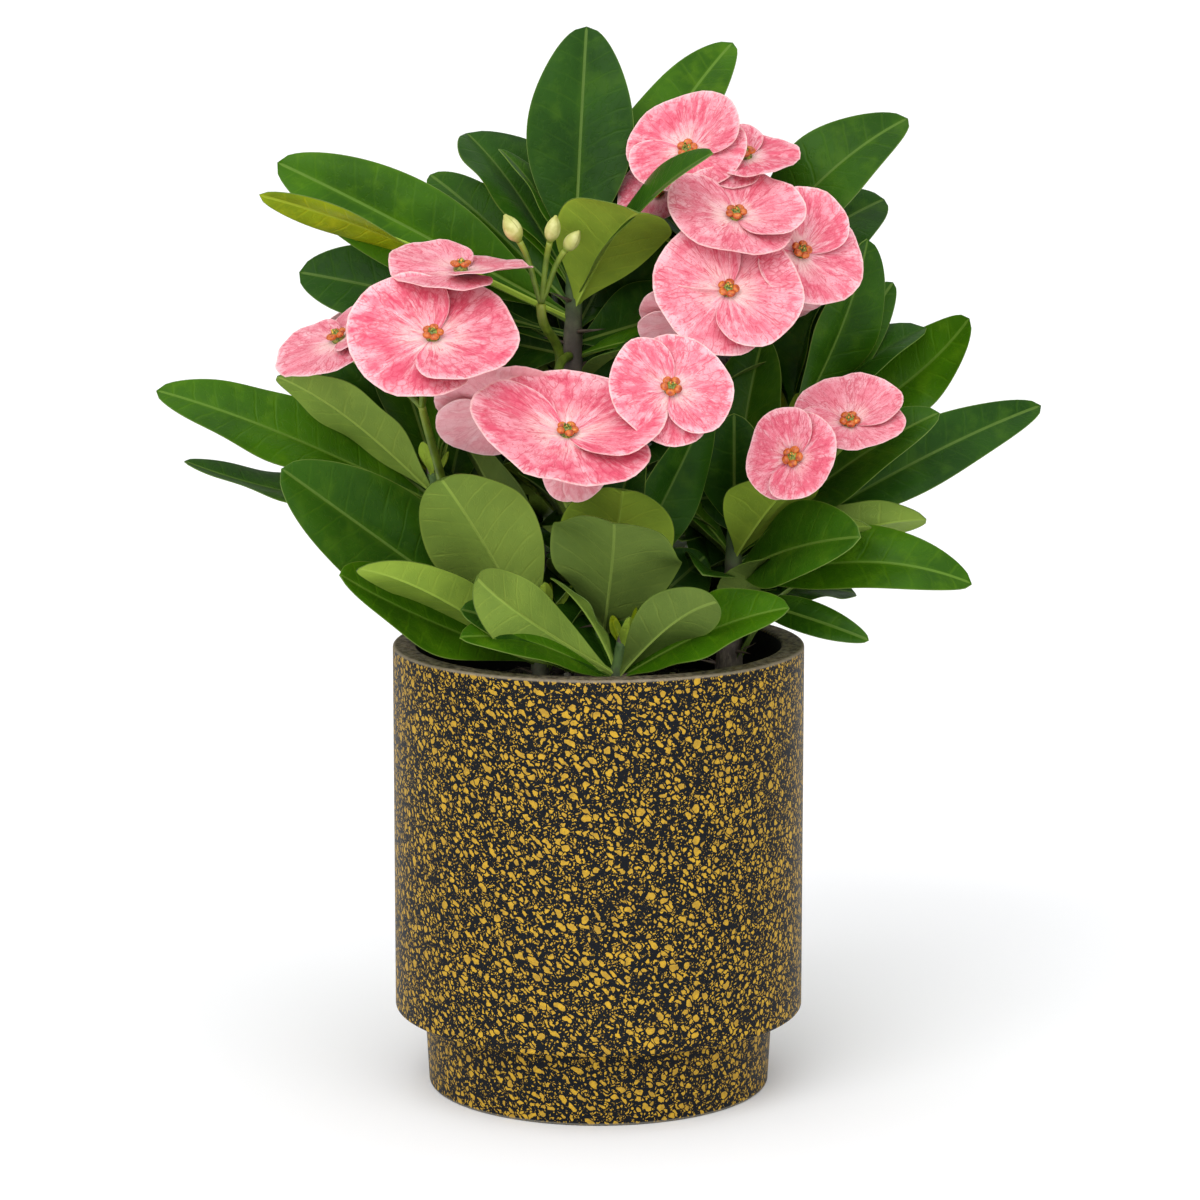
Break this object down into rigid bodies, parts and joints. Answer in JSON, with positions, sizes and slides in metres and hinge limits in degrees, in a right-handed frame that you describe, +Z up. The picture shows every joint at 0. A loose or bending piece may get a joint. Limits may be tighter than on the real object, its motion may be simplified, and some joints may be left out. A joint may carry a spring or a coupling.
{
  "type": "potted crown of thorns plant",
  "caption": "Flowering crown of thorns shrub with pink blossom and broad green leaves in a speckled gold and black footed cylinder planter",
  "frame": {"origin": "centre of the planter's flat underside, on the planter's axis", "axes": "+Z up along the planter's axis, -Y the front seen in the picture, +X to that view's right"},
  "size_m": [0.301, 0.2414, 0.36],
  "materials": {
    "planter": "matte ground dark with ochre gold flecks",
    "potting_mix": "dark crumbly potting mix",
    "bark": "grey-brown bark with spines",
    "leaf": "glossy mid green leaves, paler and matte beneath",
    "bract": "pink bracts with darker veins and cream blotches"
  },
  "bodies": {
    "root": {"pot": "planter", "potting_mix": "potting_mix", "trunk": "bark", "bough_top": "bark", "bough_top_right": "bark", "bough_upright": "bark", "bough_left": "bark", "bough_back_left": "bark", "bough_back_right": "bark", "stem_right": "bark", "stem_back": "bark", "leaves_top": "leaf", "leaves_top_right": "leaf", "leaves_upright": "leaf", "leaves_right": "leaf", "leaves_front": "leaf", "leaves_mid_left": "leaf", "leaves_left": "leaf", "leaves_back_left": "leaf", "leaves_back_right": "leaf", "leaves_back": "leaf", "blossom_left": "bract", "blossom_middle": "bract", "blossom_top_right": "bract", "blossom_low_right": "bract", "blossom_back_left": "bract", "blossom_back_right": "bract", "blossom_back_top": "bract"}
  },
  "joints": []
}
